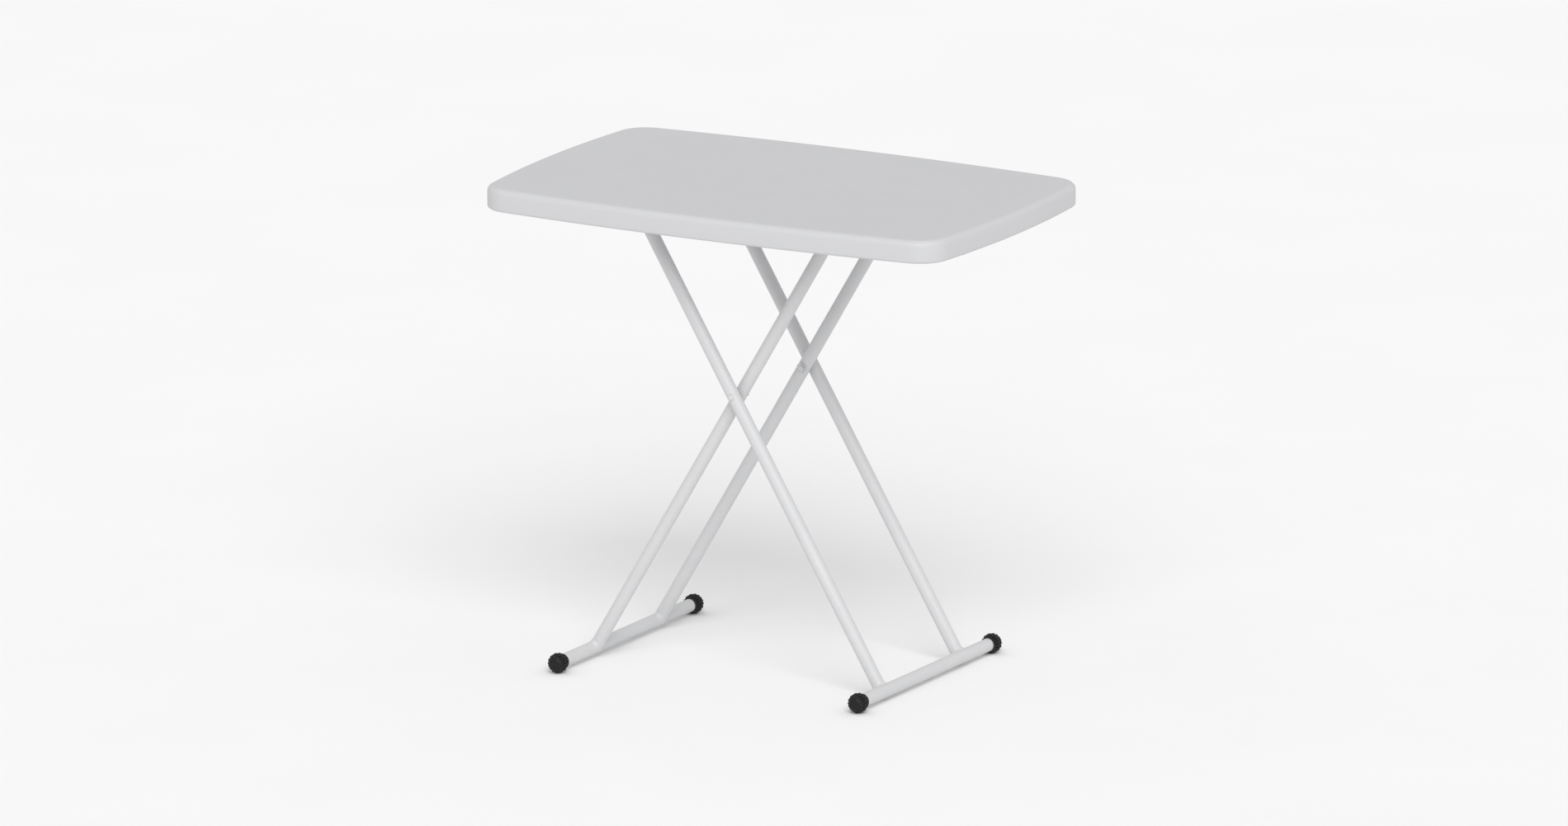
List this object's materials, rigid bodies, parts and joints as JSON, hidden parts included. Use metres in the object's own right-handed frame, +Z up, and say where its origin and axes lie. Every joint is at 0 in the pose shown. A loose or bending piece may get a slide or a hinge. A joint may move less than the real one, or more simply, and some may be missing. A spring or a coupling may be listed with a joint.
{
  "type": "folding side table",
  "caption": "Folding side table with a moulded plastic top on crossed steel tube frames, a stepped height rack and a sprung release bail.",
  "frame": {"origin": "on the floor under the middle of the tabletop", "axes": "+X along the tabletop's length towards the outer frame's feet, +Y across it, +Z up"},
  "size_m": [0.76, 0.49, 0.704],
  "materials": {
    "moulded_white": "fine-textured blow-moulded polyethylene, satin",
    "frame_paint": "light grey powder coat, semi-gloss",
    "black_plastic": "black moulded plastic, satin",
    "zinc": "bright zinc plate",
    "nylon": "natural nylon",
    "spring_steel": "drawn spring wire"
  },
  "bodies": {
    "tabletop": {"tabletop_shell": "moulded_white", "blow_hole_plug": "black_plastic", "height_rack_front": "frame_paint", "hinge_block_front": "nylon", "hinge_strap_front": "zinc", "bail_bracket_front": "zinc", "bail_spring_front": "spring_steel", "rack_screw_front_1": "zinc", "rack_screw_front_2": "zinc", "rack_screw_front_3": "zinc", "hinge_screw_front_1": "zinc", "hinge_screw_front_2": "zinc", "bracket_screw_front_1": "zinc", "height_rack_rear": "frame_paint", "hinge_block_rear": "nylon", "hinge_strap_rear": "zinc", "bail_bracket_rear": "zinc", "bail_spring_rear": "spring_steel", "rack_screw_rear_1": "zinc", "rack_screw_rear_2": "zinc", "rack_screw_rear_3": "zinc", "hinge_screw_rear_1": "zinc", "hinge_screw_rear_2": "zinc", "bracket_screw_rear_1": "zinc"},
    "outer_frame": {"outer_crossbar": "frame_paint", "outer_foot_bar": "frame_paint", "outer_leg_front": "frame_paint", "outer_plug_front": "black_plastic", "outer_cap_front": "black_plastic", "outer_leg_rear": "frame_paint", "outer_plug_rear": "black_plastic", "outer_cap_rear": "black_plastic", "pivot_rivet_front": "frame_paint", "pivot_rivet_rear": "frame_paint", "pivot_spacer_front": "nylon", "pivot_spacer_rear": "nylon"},
    "inner_frame": {"inner_crossbar": "frame_paint", "inner_foot_bar": "frame_paint", "inner_leg_front": "frame_paint", "inner_plug_front": "black_plastic", "inner_cap_front": "black_plastic", "inner_leg_rear": "frame_paint", "inner_plug_rear": "black_plastic", "inner_cap_rear": "black_plastic", "pivot_washer_front": "zinc", "pivot_washer_rear": "zinc"},
    "release_bail": {"release_bail_wire": "spring_steel", "release_grip": "black_plastic"}
  },
  "joints": [
    {"name": "outer_frame_fold", "type": "hinge", "parent": "tabletop", "child": "outer_frame", "pos_m": [-0.15832, 0, 0.6585], "axis": [0, -1, 0], "range_deg": [0, 57.3]},
    {"name": "cross_pivot", "type": "hinge", "parent": "outer_frame", "child": "inner_frame", "pos_m": [-0.0138, 0, 0.4151], "axis": [0, 1, 0], "range_deg": [0, 114.6]},
    {"name": "release_bail_swing", "type": "hinge", "parent": "tabletop", "child": "release_bail", "pos_m": [0.095, 0, 0.646], "axis": [0, 1, 0], "range_deg": [0, 25], "stiffness_Nm_per_rad": 0.8, "springref_deg": -20.05, "deforming": ["bail_spring_front", "bail_spring_rear"]}
  ],
  "couplings": [
    {"joint": "cross_pivot", "follows": "outer_frame_fold", "ratio": 2}
  ]
}
